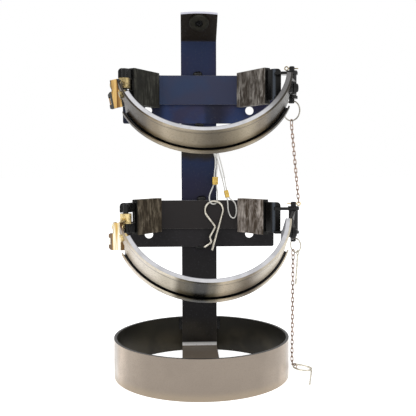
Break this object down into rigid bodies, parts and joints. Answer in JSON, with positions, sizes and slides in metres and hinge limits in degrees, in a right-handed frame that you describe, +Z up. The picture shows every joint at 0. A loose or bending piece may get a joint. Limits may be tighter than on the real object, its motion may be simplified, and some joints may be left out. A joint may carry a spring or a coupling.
{
  "type": "fire extinguisher bracket",
  "caption": "Upright strap bracket with a base ring, folded cradles with rubber sleeves, and hinged clamp bands with levers, chains and lanyards.",
  "frame": {"origin": "centre of the four wall holes, in the plane of the strap's front face and the cross plates' back faces", "axes": "+Z up along the strap, +X to the viewer's right, -Y forward out of the wall"},
  "size_m": [0.221, 0.1794, 0.3993],
  "materials": {
    "strap_blue_paint": "worn satin dark blue paint",
    "ring_black_paint": "satin black paint with a warm sheen",
    "cradle_paint": "satin dark blue to black paint",
    "sleeve_rubber": "matt dark rubber with chalky scuffs",
    "liner_rubber": "smooth grey rubber",
    "band_steel": "glossy grey brown metallic coat",
    "black_steel": "glossy black",
    "yellow_zinc": "yellow zinc plate",
    "bright_steel": "bright wire",
    "chain_steel": "dull browned wire",
    "brass": "crimped brass",
    "white_cord": "white plastic coated cable",
    "weld_metal": "rough weld, painted over",
    "bumper_rubber": "black rubber"
  },
  "bodies": {
    "frame": {"back_strap": "strap_blue_paint", "base_ring": "ring_black_paint", "ring_welds": "weld_metal", "top_bumper": "bumper_rubber", "bumper_screw": "black_steel", "cross_plate_upper": "cradle_paint", "cradle_upper": "cradle_paint", "sleeve_upper_left": "sleeve_rubber", "sleeve_upper_right": "sleeve_rubber", "weld_beads_upper": "weld_metal", "latch_pin_upper": "black_steel", "hinge_lugs_upper": "black_steel", "hinge_pin_upper": "black_steel", "hinge_washer_upper": "black_steel", "cotter_pin_upper": "yellow_zinc", "split_ring_upper": "bright_steel", "cross_plate_lower": "cradle_paint", "cradle_lower": "cradle_paint", "sleeve_lower_left": "sleeve_rubber", "sleeve_lower_right": "sleeve_rubber", "weld_beads_lower": "weld_metal", "latch_pin_lower": "black_steel", "hinge_lugs_lower": "black_steel", "hinge_pin_lower": "black_steel", "hinge_washer_lower": "black_steel", "cotter_pin_lower": "yellow_zinc", "split_ring_lower": "bright_steel", "chain_upper": "chain_steel", "chain_lower": "chain_steel", "chain_hook": "chain_steel", "pull_pin": "bright_steel", "hitch_clip": "bright_steel", "anchor_screw": "bright_steel", "ferrule_1": "brass", "ferrule_2": "brass", "lanyard_1": "white_cord", "lanyard_1_loop": "white_cord", "lanyard_2": "white_cord", "lanyard_2_loop": "white_cord"},
    "swivel_body_upper": {"swivel_upper": "black_steel"},
    "band_body_upper": {"band_upper": "band_steel", "band_liner_upper": "liner_rubber", "lift_rivet_upper": "black_steel", "lift_washer_upper": "black_steel", "keeper_rivet_upper": "yellow_zinc"},
    "eyebolt_body_upper": {"eyebolt_upper": "yellow_zinc", "lever_pin_upper": "yellow_zinc"},
    "lever_body_upper": {"latch_lever_upper": "yellow_zinc"},
    "swivel_body_lower": {"swivel_lower": "black_steel"},
    "band_body_lower": {"band_lower": "band_steel", "band_liner_lower": "liner_rubber", "lift_rivet_lower": "black_steel", "lift_washer_lower": "black_steel", "keeper_rivet_lower": "yellow_zinc"},
    "eyebolt_body_lower": {"eyebolt_lower": "yellow_zinc", "lever_pin_lower": "yellow_zinc"},
    "lever_body_lower": {"latch_lever_lower": "yellow_zinc"},
    "tether_body": {"tether_pin": "bright_steel"}
  },
  "joints": [
    {"name": "band_swing_upper", "type": "hinge", "parent": "frame", "child": "swivel_body_upper", "pos_m": [0.1007, -0.063, 0.0976], "axis": [0, 0, 1], "range_deg": [0, 100]},
    {"name": "band_lift_upper", "type": "hinge", "parent": "swivel_body_upper", "child": "band_body_upper", "pos_m": [0.0948, -0.11131, 0.0867], "axis": [-0.9994, 0, -0.0349], "range_deg": [0, 53.8]},
    {"name": "eyebolt_swing_upper", "type": "hinge", "parent": "frame", "child": "eyebolt_body_upper", "pos_m": [-0.0825, -0.0616, 0.0976], "axis": [0, 0, -1], "range_deg": [0, 95]},
    {"name": "lever_swing_upper", "type": "hinge", "parent": "eyebolt_body_upper", "child": "lever_body_upper", "pos_m": [-0.08879, -0.08507, 0.09266], "axis": [-0.9513, 0.2549, -0.1736], "range_deg": [0, 80]},
    {"name": "band_swing_lower", "type": "hinge", "parent": "frame", "child": "swivel_body_lower", "pos_m": [0.1032, -0.063, -0.0499], "axis": [0, 0, 1], "range_deg": [0, 100]},
    {"name": "band_lift_lower", "type": "hinge", "parent": "swivel_body_lower", "child": "band_body_lower", "pos_m": [0.0958, -0.10269, -0.0629], "axis": [-0.9965, 0, 0.0837], "range_deg": [0, 49]},
    {"name": "eyebolt_swing_lower", "type": "hinge", "parent": "frame", "child": "eyebolt_body_lower", "pos_m": [-0.0825, -0.0616, -0.0499], "axis": [0, 0, -1], "range_deg": [0, 95]},
    {"name": "lever_swing_lower", "type": "hinge", "parent": "eyebolt_body_lower", "child": "lever_body_lower", "pos_m": [-0.0883, -0.08486, -0.057], "axis": [-0.9703, 0.2419, 0], "range_deg": [0, 80]},
    {"name": "tether_pin_swing", "type": "hinge", "parent": "frame", "child": "tether_body", "pos_m": [0.1073, -0.06886, -0.08764], "axis": [0.5736, -0.8192, 0], "range_deg": [-12, 30]}
  ]
}
